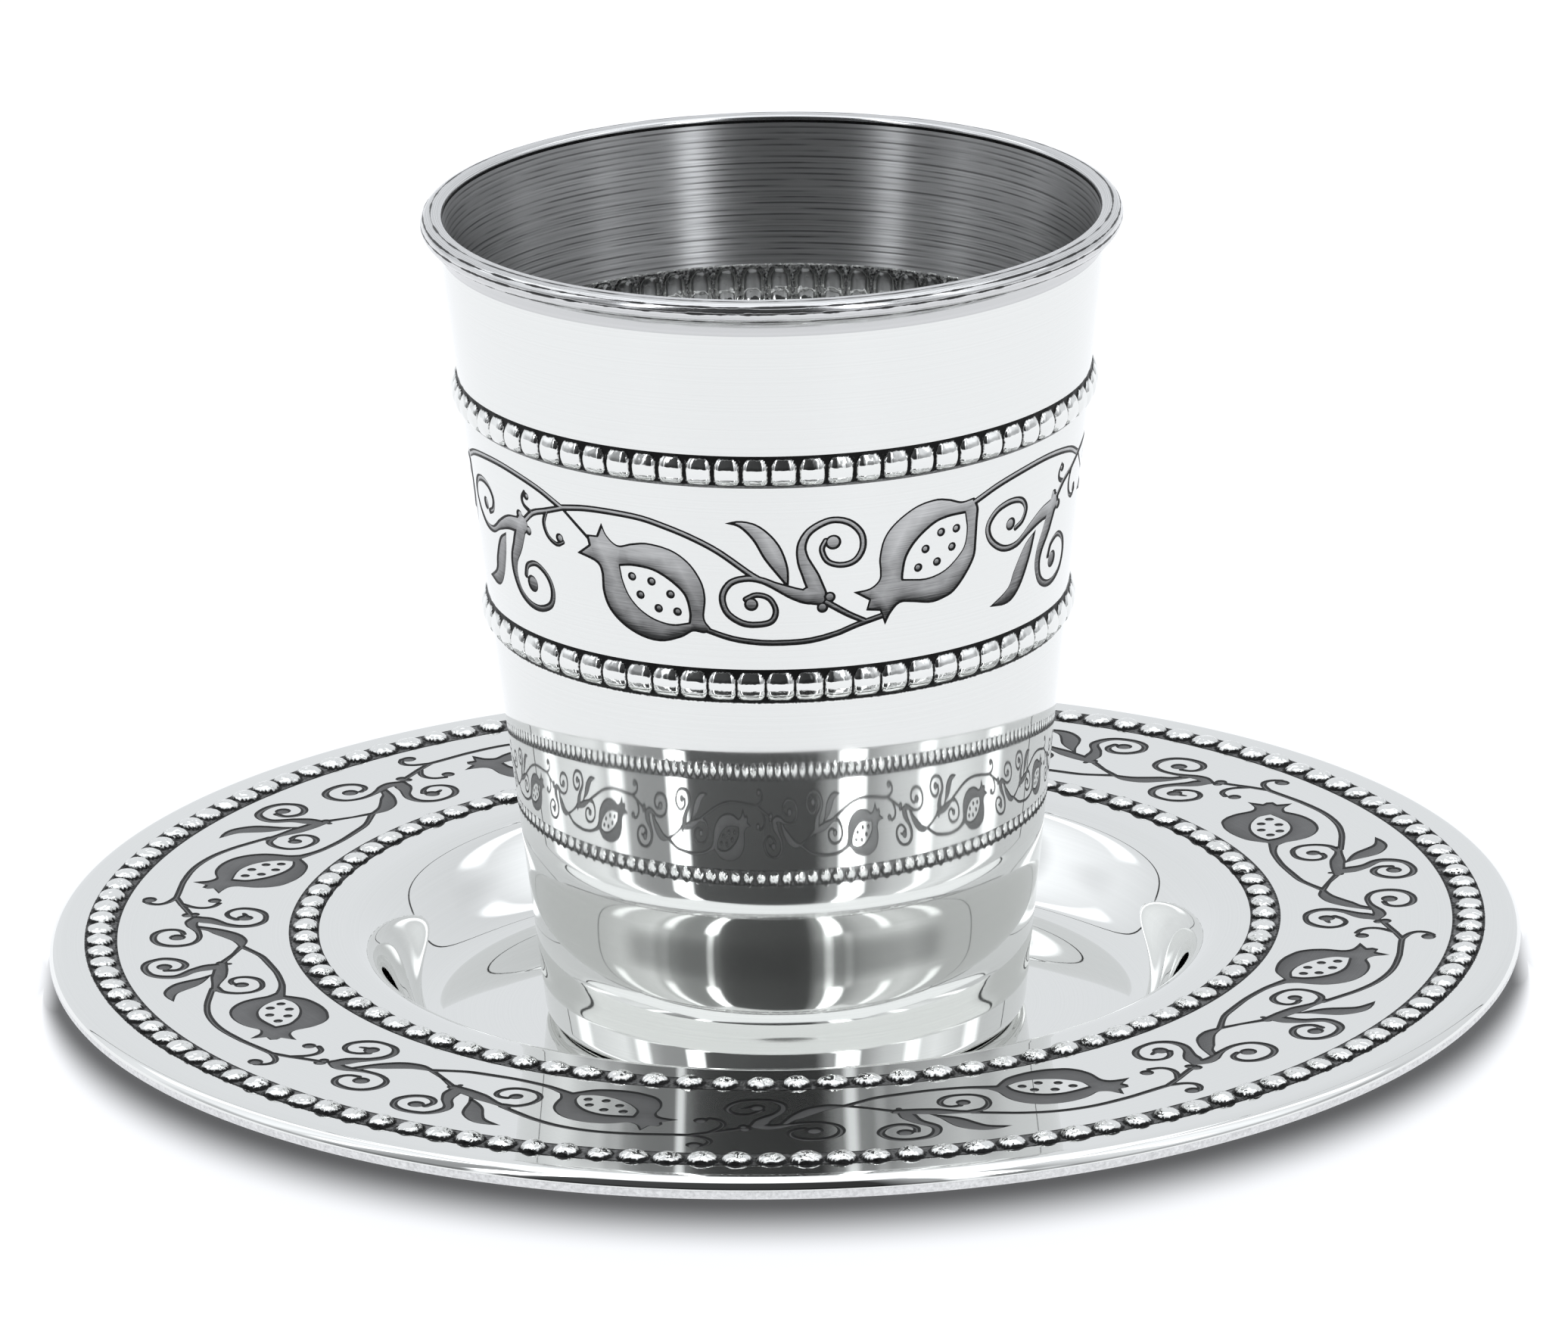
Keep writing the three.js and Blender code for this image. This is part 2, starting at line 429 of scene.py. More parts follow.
class Tile:
    """One repeat of a frieze, with the signed distance to its drawing: negative inside the etched areas."""

    def __init__(self, length, low, high, start):
        self.length, self.low, self.high, self.start = length, low, high, start
        self.columns = int(round(length / TRACE_CELL))
        self.rows = int(round((high - low) / TRACE_CELL))
        self.u = start + np.linspace(0, length, self.columns + 1)
        self.v = np.linspace(low, high, self.rows + 1)
        self.distance = np.full((self.rows + 1, self.columns + 1), FAR)

    def paint(self, path, measure, merge):
        for shift in (-self.length, 0, self.length):
            moved = path + np.array([shift, 0])
            lo, hi = moved.min(0) - 2 * FAR, moved.max(0) + 2 * FAR
            i = np.flatnonzero((self.u >= lo[0]) & (self.u <= hi[0]))
            j = np.flatnonzero((self.v >= lo[1]) & (self.v <= hi[1]))
            if not len(i) or not len(j):
                continue
            window = np.s_[j[0]:j[-1] + 1, i[0]:i[-1] + 1]
            grid = np.stack(np.meshgrid(self.u[i], self.v[j]), -1)
            self.distance[window] = merge(self.distance[window], measure(grid, moved))

    def stroke(self, points, width):
        path = smooth_path(points)
        widths = np.atleast_1d(width) / 2
        at = np.linspace(0, 1, len(widths))
        half = np.interp(np.linspace(0, 1, len(path)), at, widths)
        self.paint(path, lambda grid, p: segment_distance(grid, p, half), np.minimum)

    def dot(self, place, radius):
        path = np.array([place, (place[0] + 0.01, place[1])], float)
        self.paint(path, lambda grid, p: segment_distance(grid, p, [radius, radius]), np.minimum)

    def spiral(self, points, width, end, radius):
        """A tendril that ends in a dot."""
        self.stroke(points, width)
        self.dot(end, radius)

    def area(self, *edges, cut=False):
        """An area, added or cut out, within curves that each end at the corner where the next one starts."""
        onward = edges[1:] + edges[:1]
        loop = np.vstack([smooth_path([*edge, after[0]])[:-1] for edge, after in zip(edges, onward)])
        closed = np.vstack([loop, loop[:1]])

        def measure(grid, p):
            near = segment_distance(grid, p, np.zeros(len(p)))
            signed = np.where(inside_of(grid, p[:-1]), -near, near)
            return -signed if cut else signed

        self.paint(closed, measure, np.maximum if cut else np.minimum)

    def sample(self, points):
        x = np.clip((points[:, 0] - self.start) / self.length * self.columns, 0, self.columns - 1e-6)
        y = np.clip((points[:, 1] - self.low) / (self.high - self.low) * self.rows, 0, self.rows - 1e-6)
        i, j = x.astype(int), y.astype(int)
        x, y, d = x - i, y - j, self.distance
        return ((d[j, i] * (1 - x) + d[j, i + 1] * x) * (1 - y)
                + (d[j + 1, i] * (1 - x) + d[j + 1, i + 1] * x) * y)

    def outlines(self, level):
        """Curves along which the distance has the given value, as lists of points."""
        d = self.distance - level
        d = np.where(np.abs(d) < 1e-7, 1e-7, d)
        etched = d < 0
        code = (etched[:-1, :-1] + 2 * etched[:-1, 1:] + 4 * etched[1:, 1:] + 8 * etched[1:, :-1]).astype(int)
        sides = {1: "DL", 2: "RD", 3: "RL", 4: "UR", 5: "DRUL", 6: "UD", 7: "UL", 8: "LU", 9: "DU",
                 10: "RULD", 11: "RU", 12: "LR", 13: "DR", 14: "LD"}
        follow = {}
        for j, i in zip(*np.nonzero((code > 0) & (code < 15))):
            names = {"D": (0, j, i), "U": (0, j + 1, i), "L": (1, j, i), "R": (1, j, i + 1)}
            path = sides[code[j, i]]
            for a, b in zip(path[::2], path[1::2]):
                follow[names[a]] = names[b]
        return [self.edge_points(d, chain) for chain in chains(follow)]

    def edge_points(self, d, chain):
        points = []
        for kind, j, i in chain:
            k, m = (j, i + 1) if kind == 0 else (j + 1, i)
            t = d[j, i] / (d[j, i] - d[k, m])
            points.append((self.u[i] + t * (self.u[m] - self.u[i]), self.v[j] + t * (self.v[k] - self.v[j])))
        return np.array(points)


def chains(follow):
    """Joins links into open chains first, then closed ones, which end where they start."""
    result = []
    starts = sorted(set(follow) - set(follow.values())) + sorted(follow)
    for start in starts:
        if start not in follow:
            continue
        chain, at = [start], start
        while at in follow:
            at = follow.pop(at)
            chain.append(at)
        result.append(chain)
    return result


def thin_out(points):
    """Leaves out points that lie within the trace's slack of the straight line between their neighbours."""
    keep = np.zeros(len(points), bool)
    keep[[0, -1]] = True
    half = len(points) // 2
    spans = [(0, half), (half, len(points) - 1)]
    keep[half] = True
    while spans:
        a, b = spans.pop()
        if b - a < 2:
            continue
        d = points[b] - points[a]
        rel = points[a + 1:b] - points[a]
        off = np.abs(rel[:, 0] * d[1] - rel[:, 1] * d[0]) / max(np.linalg.norm(d), 1e-9)
        if off.max() > TRACE_SLACK:
            middle = a + 1 + int(off.argmax())
            keep[middle] = True
            spans += [(a, middle), (middle, b)]
    return points[keep]


def triangulate(tile, line_width, edge_columns):
    """Points, triangles that follow the drawing's outlines, and the triangles' paint, on a flat tile."""
    points, edges = [], []

    def add_chain(chain, closed):
        first = len(points)
        points.extend(map(tuple, chain))
        count = len(chain)
        edges.extend((first + k, first + k + 1) for k in range(count - 1))
        if closed:
            edges.append((first + count - 1, first))

    seam = set(np.linspace(tile.low, tile.high, int((tile.high - tile.low) / FILL_SPACING) + 1))
    for level in (0.0, -line_width):
        for chain in tile.outlines(level):
            closed = np.allclose(chain[0], chain[-1])
            if closed and len(chain) < 8:
                continue
            chain = thin_out(chain)
            seam.update(v for u, v in chain[[0, -1]] if not closed)
            add_chain(chain[:-1] if closed else chain, closed)
    seam = np.array(sorted(seam))
    seam = seam[np.concatenate([[True], np.diff(seam) > 1e-6])]
    across = np.linspace(tile.start, tile.start + tile.length, edge_columns + 1)
    left, right = tile.start, tile.start + tile.length
    border = [(u, tile.low) for u in across[:-1]] + [(right, v) for v in seam[:-1]]
    border += [(u, tile.high) for u in across[:0:-1]] + [(left, v) for v in seam[:0:-1]]
    add_chain(border, True)

    u, v = np.meshgrid(np.arange(left, right, FILL_SPACING), np.arange(tile.low, tile.high, FILL_SPACING))
    u = u + FILL_SPACING / 2 * (np.arange(len(u))[:, None] % 2)
    loose = np.stack([u.ravel(), v.ravel()], 1)
    margin = FILL_SPACING / 3
    d = tile.sample(loose)
    clear = (np.abs(d) > margin) & (np.abs(d + line_width) > margin)
    clear &= (loose[:, 0] > left + margin) & (loose[:, 0] < right - margin)
    clear &= (loose[:, 1] > tile.low + margin) & (loose[:, 1] < tile.high - margin)
    points.extend(map(tuple, loose[clear]))

    flat = [Vector(p) for p in points]
    placed, _, triangles, *_ = delaunay_2d_cdt(flat, edges, [], 0, 1e-5)
    placed = np.array([tuple(p) for p in placed])
    triangles = np.array(triangles)
    d = tile.sample(placed[triangles].mean(1))
    paint = np.where(d > 0, 0, np.where(d > -line_width, 1, 2))
    return placed, triangles, paint


def frieze(skin, tile, tiles, line_width, edge_columns, place, paints, flip):
    """Repeats a tile around the skin. place(u, v, depth) gives angle, points and normals."""
    points, triangles, paint = triangulate(tile, line_width, edge_columns)
    depth = ETCH_DEPTH * np.clip(-tile.sample(points) / line_width, 0, 1)
    step = np.array([0, FILL_SLOPE_STEP])
    # painted shade along the etched areas' edges, heaviest on their lower edges, passed to the materials in
    # the soil_and_shade attribute
    slope = (tile.sample(points + step) - tile.sample(points - step)) / (2 * FILL_SLOPE_STEP)
    near_edge = 1 - np.clip((-tile.sample(points) - line_width) / FILL_FADE, 0, 1)
    shade = near_edge * (FILL_SHADE[0] + FILL_SHADE[1] * slope)
    on_left = np.abs(points[:, 0] - tile.start) < ON_LINE
    on_right = np.abs(points[:, 0] - tile.start - tile.length) < ON_LINE
    left = np.flatnonzero(on_left)[np.argsort(points[on_left, 1])]
    right = np.flatnonzero(on_right)[np.argsort(points[on_right, 1])]
    if len(left) != len(right):
        raise ValueError(f"the tile's two ends differ: {len(left)} and {len(right)} points")
    own = np.flatnonzero(~on_right)
    index = np.zeros((tiles, len(points)), int)
    thetas = []
    for k in range(tiles):
        theta, where, normals = place(points[own, 0] + k * tile.length, points[own, 1], depth[own])
        index[k, own] = skin.add_points(where, normals, shade[own])
        thetas.append(theta)
    for k in range(tiles):
        index[k, right] = index[(k + 1) % tiles, left]
    rings = []
    for level in (tile.low, tile.high):
        row = np.abs(points[own, 1] - level) < ON_LINE
        rings.append((index[:, own[row]].ravel(), np.concatenate([t[row] for t in thetas])))
    if flip:
        rings.reverse()
        triangles = triangles[:, ::-1]
    skin.join(*rings[0], paints[0])
    for k in range(tiles):
        skin.faces.extend(map(tuple, index[k][triangles].tolist()))
        skin.paint.extend(paints[p] for p in paint)
    skin.last = in_order(*rings[1])


# The drawings. Each tile's places are millimetres around the object and across its frieze.

def spikes(*tips):
    """Straight edges from tip to tip, for a fruit's crown."""
    return [[tip] for tip in tips]


def frieze_tile(tiles, radius, middle, lower, upper, start):
    """An empty tile between two bead bands."""
    low = lower["middle"] + lower["width"] / 2 - middle
    high = upper["middle"] - upper["width"] / 2 - middle
    return Tile(math.radians(360 / tiles) * radius, low, high, start)


def cup_drawing():
    radius = outside(CUP_FRIEZE_MIDDLE)
    tile = frieze_tile(CUP_TILES, radius, CUP_FRIEZE_MIDDLE, LOWER_BEADS, UPPER_BEADS, CUP_TILE_START)
    # the vine's arch, its second run and its short fork
    tile.stroke(
        [(19.5, 4.9), (22.3, 5.9), (25.5, 6.5), (29, 6.75), (32.3, 6.5), (35.5, 5.8), (38.3, 4.6)], 0.68)
    tile.stroke(
        [(-21.8, 4.6), (-19, 5.1), (-16, 5.25), (-13, 5.1), (-10.5, 4.5), (-8, 3.6), (-5.5, 2.3), (-2.7, 0.2),
         (-1.6, -0.5)], 0.66)
    tile.stroke([(-21.7, 4.6), (-24, 3.8), (-26, 3.1), (-27.7, 1.8)], (0.6, 0.7))
    tile.stroke([(-21.7, 4.6), (-20, 3.2), (-18.6, 2)], 0.34)
    tile.spiral([(-26.1, 3.1), (-27.2, 3.6), (-27.4, 4.3), (-26.9, 5)], (0.5, 0.4), (-26.7, 4.6), 0.4)
    tile.spiral(
        [(-23.9, 3.7), (-24.4, 2.5), (-24, 1.3), (-22.9, 0.7), (-22, 1.1)], (0.5, 0.5), (-22.4, 1.4), 0.5)
    # left cluster
    tile.dot((-28, 1.5), 1)
    tile.dot((-28.2, 2.4), 0.5)
    tile.dot((-27, 1.1), 0.5)
    tile.spiral(
        [(-28.3, 1.3), (-30.5, 1), (-32.5, 0.2), (-34.5, -0.8), (-36.5, -0.7), (-38.2, 0.5), (-38.7, 2),
         (-37.7, 3.3), (-35.9, 3.8), (-34.2, 3.5), (-33.4, 2.5), (-33.8, 1.4), (-34.8, 0.9)],
        (1.7, 1.6, 1.2, 0.8, 0.7, 0.7, 0.7, 0.7, 0.7, 0.7, 0.65, 0.6, 0.6), (-35.6, 1.5), 0.65)
    tile.spiral(
        [(-28.4, 0.8), (-29.3, -1), (-30.2, -2.5), (-30.4, -4), (-29.7, -5.6), (-28.2, -6.5), (-26.4, -6.6),
         (-24.7, -5.8), (-24.2, -4.3), (-24.8, -2.9), (-26.3, -2.1), (-27.8, -2.6), (-28.3, -3.7)],
        (1.7, 1.7, 1.4, 1.1, 0.85, 0.75, 0.7, 0.7, 0.7, 0.65, 0.6, 0.6, 0.6), (-27.3, -4.3), 0.85)
    tile.area(
        [(-31.3, -0.2), (-33, -1.2), (-34.5, -3.4), (-35.3, -5)],
        [(-37.8, -6.3), (-35.6, -6.6), (-34.2, -6.2), (-33, -4.9), (-31.9, -2.5)])
    # fruit with its crown to the upper left
    tile.area(
        [(-17.1, 4), (-16.6, 2.8), (-15.5, 2), (-14, 2.4), (-12.3, 2.65), (-10, 2.2), (-8.3, 1), (-7.2, -0.8),
         (-6.9, -2.5), (-7.1, -4.5)],
        [(-6.4, -5.6), (-7.2, -6), (-8.3, -5.9), (-9.5, -6.6), (-11.5, -7.2), (-13.5, -7), (-15.5, -6.1),
         (-17, -4.7), (-17.6, -3), (-17.6, -1), (-18.2, -0.1)],
        *spikes((-20.3, 0.4), (-18.8, 1.5), (-19, 2.5), (-17.8, 2.6)))
    tile.area(
        [(-15.4, -0.1), (-14, 0.1), (-12, -0.1), (-10.3, -1), (-9, -2.3), (-8.6, -4)],
        [(-8.7, -5), (-10.3, -5.3), (-12, -5), (-13.5, -4.2), (-14.6, -3), (-15.2, -1.5)], cut=True)
    for seed in ((-14.2, -0.95), (-12.2, -1.2), (-10.35, -2.3), (-13.45, -2.7), (-11.65, -3.85), (-9.75, -4)):
        tile.dot(seed, 0.44)
    # stalk from fruit to fruit
    tile.stroke(
        [(-6.8, -5.7), (-4.5, -6.4), (-2, -6.75), (0.5, -6.8), (3, -6.65), (5.5, -6.1), (7.5, -5.4),
         (9.9, -4.8)], 0.62)
    # middle cluster
    tile.spiral(
        [(3.9, -2.6), (1.8, -2), (0, -1.2), (-1.5, -0.5), (-3, -0.3), (-4.5, -0.8), (-5.3, -2.2),
         (-4.9, -3.8), (-3.5, -4.8), (-2, -4.95), (-0.7, -4.6), (-0.3, -3.5), (-0.9, -2.3), (-2.1, -1.95),
         (-3.1, -2.4)], (1.2, 1.5, 1.2, 0.8, 0.7, 0.7, 0.7, 0.7, 0.7, 0.7, 0.65, 0.65, 0.6, 0.6, 0.6),
        (-2.6, -2.9), 0.68)
    tile.area(
        [(-4.85, 5.2), (-3.5, 5.5), (-2, 5.2), (-0.7, 4.2), (0.3, 2.8), (0.9, 1), (1, -0.4)],
        [(0.9, -1.4), (0, -0.2), (-1.3, 1.6), (-2.3, 3.5), (-3.5, 4.8)])
    tile.spiral(
        [(3.7, -2), (3, -0.2), (2.3, 1.5), (2.2, 3), (3, 4.4), (4.8, 5.3), (6.5, 5), (7.7, 3.8), (7.9, 2.3),
         (7.2, 1.1), (5.9, 0.75), (4.6, 1.2), (4.05, 2.4), (4.4, 3.3)],
        (1.7, 1.7, 1.4, 1, 0.8, 0.75, 0.7, 0.7, 0.7, 0.7, 0.65, 0.6, 0.6, 0.6), (5.1, 3.1), 0.75)
    tile.dot((2.9, -2.1), 0.95)
    tile.dot((4.8, -2.4), 0.55)
    tile.dot((4.1, -3.4), 0.55)
    tile.stroke([(4.5, -2.9), (6.5, -4.2), (8.2, -5.1)], (0.7, 0.6))
    # fruit with its crown to the lower left
    tile.area(
        [(7, -2.1), (8.6, -1.9), (9.5, -1.2), (9.6, -0.3), (9.5, 1), (9.9, 2.9), (11, 4.4), (13, 5.7),
         (15, 6.1), (16.5, 5.85), (18, 5.3)],
        [(19.4, 5.4), (20, 4.3), (20, 3), (20, 1), (19.9, -0.6), (19, -2.2), (17.7, -3.6), (16.5, -4.1),
         (15, -4.3), (13, -3.9), (11.7, -3.8), (10.8, -4.7)],
        *spikes((10.25, -5.8), (9.7, -4.3), (8.3, -4.1), (8.6, -3.1)))
    tile.area(
        [(12, -1.4), (12, -0.8), (12.3, 0.8), (13.3, 2.3), (15, 3.6), (16.5, 4)],
        [(18.4, 4), (18.7, 2.5), (18.6, 1), (18, 0), (16.5, -1.2), (14.5, -1.7)], cut=True)
    for seed in ((15.8, 2.65), (17.5, 2.7), (14.2, 1.25), (17.1, 0.95), (13.5, -0.5), (15.5, -0.25)):
        tile.dot(seed, 0.44)
    return tile


def saucer_drawing():
    radius = SAUCER_FRIEZE_MIDDLE
    tile = frieze_tile(SAUCER_TILES, radius, radius, INNER_BEADS, OUTER_BEADS, SAUCER_TILE_START)
    # stalks that fork from the leaf of the repeat before
    tile.stroke(
        [(-20.6, -3.9), (-19, -4.75), (-17.3, -5.45), (-15, -5.8), (-12.3, -6.03), (-10, -5.93), (-8, -5.64),
         (-6.5, -5.15), (-4.8, -4.4)], (0.75, 0.65, 0.7, 0.72, 0.66, 0.66, 0.66, 0.8, 1.2))
    tile.stroke([(-20.8, -3.85), (-18.5, -2.85), (-16.6, -1.75)], (0.7, 0.5, 0.7))
    # cluster with two spirals, a leaf and the vine
    tile.dot((-16.2, -1.45), 0.55)
    tile.dot((-15.8, -2.15), 0.3)
    tile.stroke(
        [(-16.2, -1.6), (-14.6, -1.15), (-12.9, -0.7), (-10.5, 0.2), (-8.8, 0.8)], (0.9, 1.5, 1.6, 0.9, 0.66))
    tile.spiral(
        [(-15.4, -1), (-15.3, 0), (-14.75, 1.5), (-13.8, 2.75), (-13.55, 3.6), (-13.85, 4.7), (-14.5, 5.5),
         (-15.4, 5.85), (-16.4, 5.93), (-17.3, 5.7), (-18.05, 5.1), (-18.5, 3.95), (-18.2, 2.9), (-17.5, 2.2),
         (-16.6, 1.93), (-15.75, 2.25), (-15.25, 3), (-15.4, 4)],
        (1.6, 1.7, 1.3, 1.05, 1, 0.95, 0.9, 0.8, 0.75, 0.75, 0.75, 0.65, 0.75, 0.75, 0.72, 0.75, 0.65, 0.7),
        (-16.4, 4), 0.78)
    tile.area(
        [(-13.4, -0.1), (-12.7, 1.2), (-12.3, 2.65), (-11.85, 3.8), (-11.2, 4.6), (-10.3, 5.3), (-9.4, 5.6),
         (-8.35, 5.55)],
        [(-7.3, 5.25), (-8.7, 4.6), (-9.35, 4.1), (-9.9, 3.2), (-10.5, 2.1), (-11.2, 1.3), (-12.3, 0.5)])
    tile.spiral(
        [(-9.6, 0.45), (-8.2, 0.15), (-7.3, -0.9), (-7.05, -2.2), (-7.4, -3.1), (-8.1, -3.7), (-9.2, -4),
         (-10.2, -3.98), (-11, -3.6), (-11.5, -2.95), (-11.6, -2.2), (-11.3, -1.6), (-10.7, -1.3),
         (-10, -1.35)], (0.9, 0.75, 0.7, 0.65, 0.65, 0.65, 0.58, 0.58, 0.62, 0.7, 0.7, 0.6, 0.58, 0.65),
        (-9.45, -2.05), 0.72)
    tile.stroke(
        [(-9.4, 0.8), (-7.8, 1.52), (-5.15, 2.72), (-2.5, 3.58), (0.7, 4), (4.4, 3.85), (7.7, 3.5),
         (9.2, 3.45)], 0.66)
    tile.spiral(
        [(9, 3.45), (10.3, 4), (10.9, 4.75), (10.8, 5.6), (10.25, 6.25)], (0.7, 0.65, 0.6, 0.6, 0.6),
        (9.75, 5.9), 0.72)
    tile.stroke([(9, 3.4), (10.7, 2.63), (12.4, 1.8), (13.6, 1.3)], 0.66)
    tile.spiral(
        [(10.6, 2.65), (11.5, 1.3), (11.65, 0.22), (11.17, -0.6), (10.2, -1)], (0.6, 0.62, 0.62, 0.6, 0.6),
        (9.45, -0.43), 0.68)
    # second cluster
    tile.dot((13.7, 1.55), 0.62)
    tile.dot((13.5, 0.9), 0.5)
    tile.spiral(
        [(14.6, 0.6), (15.6, 1), (16.6, 0.9), (17.6, 0.52), (18.6, 0.2), (20, 0.08), (21.2, 0.42),
         (21.95, 1.1), (22.25, 2.15), (22.05, 3.2), (21.45, 4), (20.5, 4.45), (19.4, 4.5), (18.5, 4.2),
         (17.85, 3.45), (17.75, 2.5), (18.2, 1.85), (19, 1.6)],
        (1.3, 1.4, 1.2, 0.85, 0.66, 0.62, 0.6, 0.6, 0.7, 0.75, 0.75, 0.7, 0.72, 0.75, 0.7, 0.65, 0.6, 0.6),
        (19.85, 2.2), 0.82)
    tile.spiral(
        [(14.7, 0.6), (15, -0.1), (15.5, -1.1), (16.4, -2.2), (17, -3.3), (17.1, -4.3), (16.8, -5.1),
         (15.9, -5.85), (14.7, -6.08), (13.2, -5.85), (12.1, -5.05), (11.6, -3.85), (11.9, -2.9),
         (12.6, -2.35), (13.4, -2.2), (14.3, -2.55), (15, -3.3)],
        (1.4, 1.8, 1.35, 1, 1, 0.95, 0.85, 0.7, 0.58, 0.6, 0.75, 0.8, 0.75, 0.6, 0.52, 0.6, 0.75),
        (14.5, -4.05), 0.82)
    tile.stroke([(14.6, -4.1), (13.6, -4), (13.1, -3.8)], (0.9, 0.4))
    tile.area(
        [(16.7, 0.3), (17.55, -1.63), (18.3, -2.74), (19.2, -3.67), (20.3, -4.25), (21.8, -4.5)],
        [(23.5, -4.05), (23.4, -3.6), (22.55, -3.4), (21.44, -3), (20.3, -2.2), (19.2, -1.26), (18.3, -0.65),
         (17.6, 0.3)])
    # fruit
    tile.area(
        [(4.55, 2.95), (4.2, 2.2), (3.85, 1.5), (3, 1.05), (2, 1.5), (0.9, 1.85), (-0.5, 1.95), (-1.9, 1.75),
         (-3.2, 1.2), (-4.25, 0.3), (-5, -0.9), (-5.3, -2.2), (-5.4, -3.4)],
        [(-6, -4.5), (-5.4, -5), (-4.8, -5), (-4.1, -5.6), (-3, -6.4), (-1.6, -6.8), (0.05, -6.95),
         (1.6, -6.8), (2.6, -6.5), (3.9, -5.9), (4.7, -4.95), (5.05, -4), (5.15, -3.1), (5.05, -1.7),
         (5.5, -0.95), (6.4, -0.6)],
        *spikes((7.45, -0.4), (6, 0.45), (6.2, 1), (5.9, 1.6), (5.1, 1.5)))
    tile.area(
        [(-3.7, -4.5), (-3.6, -3.4), (-2.8, -2.1), (-1.6, -1.1), (-0.15, -0.57), (1.1, -0.5)],
        [(3, -0.7), (2.95, -2.1), (2, -3.35), (1.1, -4.05), (0, -4.6), (-1.2, -4.9), (-2.5, -4.9)], cut=True)
    for seed in ((-2.55, -3.75), (-0.7, -3.85), (-1.9, -2.4), (-0.13, -1.57), (1.8, -1.55), (1, -2.95)):
        tile.dot(seed, 0.46)
    return tile


# Materials

class Nodes:
    """The nodes of a material or of the world, made by short calls."""

    def __init__(self, tree):
        self.tree = tree
        tree.nodes.clear()

    def add(self, kind, inputs=(), **settings):
        node = self.tree.nodes.new("ShaderNode" + kind)
        for key, value in settings.items():
            setattr(node, key, value)
        for key, value in dict(inputs).items():
            if isinstance(value, bpy.types.NodeSocket):
                self.tree.links.new(value, node.inputs[key])
            else:
                node.inputs[key].default_value = value
        return node

    def math(self, operation, *values):
        return self.add("Math", dict(enumerate(values)), operation=operation).outputs[0]

    def plus(self, a, b):
        return self.math("ADD", a, b)

    def minus(self, a, b):
        return self.math("SUBTRACT", a, b)

    def times(self, a, b):
        return self.math("MULTIPLY", a, b)

    def size(self, value):
        return self.math("ABSOLUTE", value)

    def largest(self, a, b):
        return self.math("MAXIMUM", a, b)

    def ramp(self, value, low, high, to_low=0.0, to_high=1.0, smooth=False):
        kind = "SMOOTHSTEP" if smooth else "LINEAR"
        inputs = {"Value": value, "From Min": low, "From Max": high, "To Min": to_low, "To Max": to_high}
        return self.add("MapRange", inputs, interpolation_type=kind).outputs[0]

    def mix(self, factor, a, b):
        return self.add("Mix", {0: factor, 6: a, 7: b}, data_type="RGBA").outputs[2]

    def split(self, vector):
        return self.add("SeparateXYZ", {0: vector}).outputs


class Material(Nodes):
    """A new material, with its object coordinates in millimetres."""

    def __init__(self, name):
        self.made = bpy.data.materials.new(name)
        self.made.use_nodes = True
        super().__init__(self.made.node_tree)
        place = self.add("TexCoord").outputs["Object"]
        self.spot = self.add("VectorMath", {0: place, 3: 1 / MM}, operation="SCALE").outputs[0]
        self.x, self.y, self.height = self.split(self.spot)
        self.radius = self.math("SQRT", self.plus(self.times(self.x, self.x), self.times(self.y, self.y)))

    def noise(self, scale, detail=2.0, roughness=0.5, vector=None):
        inputs = {"Vector": self.spot if vector is None else vector, "Scale": scale, "Detail": detail,
                  "Roughness": roughness}
        return self.add("TexNoise", inputs).outputs[0]

    def brushing(self, along, turns, rows, *measures):
        """Noise that runs slowly around the axis and fast along a measure."""
        angle = self.math("ARCTAN2", self.x, self.y)
        vector = self.add("CombineXYZ", {0: self.times(angle, turns), 1: self.times(along, rows)}).outputs[0]
        return self.noise(1.0, *measures, vector=vector)

    def lines(self, value, scale, detail=2.0):
        """Noise along one measure alone: rings left by polishing or turning."""
        inputs = {"W": value, "Scale": scale, "Detail": detail}
        return self.add("TexNoise", inputs, noise_dimensions="1D").outputs[0]

    def soil_and_shade(self):
        return self.add("Attribute", attribute_name="soil_and_shade").outputs["Fac"]

    def surface(self, inputs, height=None, strength=0.0, distance=0.0):
        """A shader with a bump, whose distance is in millimetres."""
        inputs = dict(inputs)
        if height is not None:
            bump = self.add("Bump", {"Strength": strength, "Distance": distance * MM, "Height": height})
            inputs["Normal"] = bump.outputs[0]
        return self.add("BsdfPrincipled", inputs).outputs[0]

    def steel(self, colour, roughness, *bump):
        return self.surface({"Base Color": colour, "Metallic": 1.0, "Roughness": roughness}, *bump)

    def brushed_steel(self, colour, anisotropy, *bump):
        """Steel brushed around the axis, which pulls reflections into upright streaks."""
        around = self.add("Tangent", direction_type="RADIAL", axis="Z").outputs[0]
        inputs = {"Base Color": colour, "Metallic": 1.0, "Roughness": BRUSHED_ROUGHNESS, "Tangent": around,
                  "Anisotropic": anisotropy, "Anisotropic Rotation": UPRIGHT}
        return self.surface(inputs, *bump)

    def finish(self, shader):
        self.add("OutputMaterial", {0: shader})
        return self.made


def grey(value):
    return value, value, value, 1


STEEL_TINT = (0.805, 0.81, 0.795, 1)
STEEL_WORN = (0.785, 0.79, 0.775, 1)
OXIDE_AND_SHADE_TONE = 0.015
BRUSHED_ROUGHNESS = 0.34
UPRIGHT = 0.25  # a quarter of a turn from the tangent
TURNING_PITCH = 0.56  # from ring to ring inside the cup


